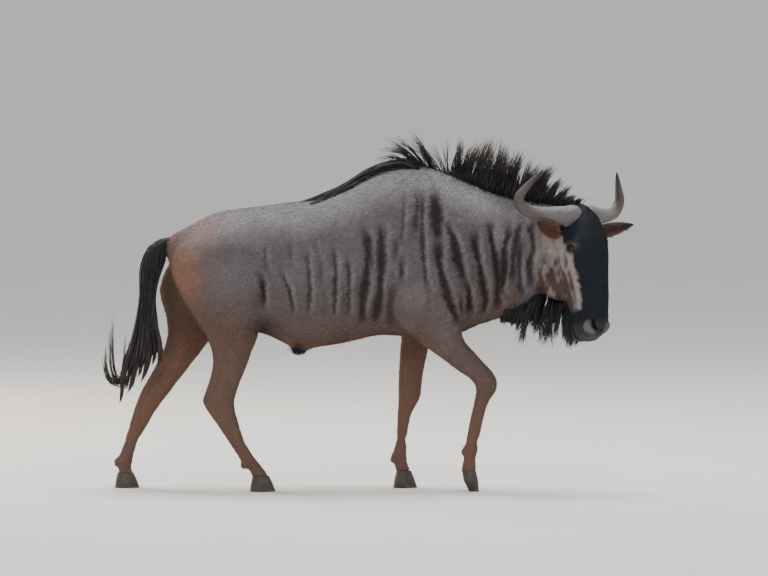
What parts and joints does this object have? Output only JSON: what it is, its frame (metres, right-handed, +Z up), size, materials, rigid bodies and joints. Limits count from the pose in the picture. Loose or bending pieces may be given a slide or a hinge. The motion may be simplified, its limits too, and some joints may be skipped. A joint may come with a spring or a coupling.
{
  "type": "wildebeest",
  "caption": "Life-size still model of a blue wildebeest walking, head lowered and turned, with curved horns, mane, beard and tail.",
  "frame": {"origin": "middle of the model's footprint on the floor, under the body", "axes": "+X forwards towards the head, +Y to the animal's left, +Z up"},
  "size_m": [2.2207, 0.5693, 1.5167],
  "materials": {
    "coat": "short slate-grey coat with dark upright stripes",
    "face": "short black coat with a paler cheek",
    "legs": "short grey-brown coat",
    "long_hair": "long black hair",
    "ear": "short brown coat",
    "hoof": "dark smooth hoof",
    "horn": "grey horn, darker towards the tip",
    "eye": "wet dark eye"
  },
  "bodies": {
    "root": {"torso": "coat", "neck": "coat", "head": "face", "tail": "long_hair", "foreleg_right": "legs", "foreleg_left": "legs", "hindleg_right": "legs", "hindleg_left": "legs", "hoof_fore_right": "hoof", "hoof_fore_left": "hoof", "hoof_hind_right": "hoof", "hoof_hind_left": "hoof", "horn_right": "horn", "horn_left": "horn", "ear_right": "ear", "ear_left": "ear", "eye_right": "eye", "eye_left": "eye"}
  },
  "joints": []
}
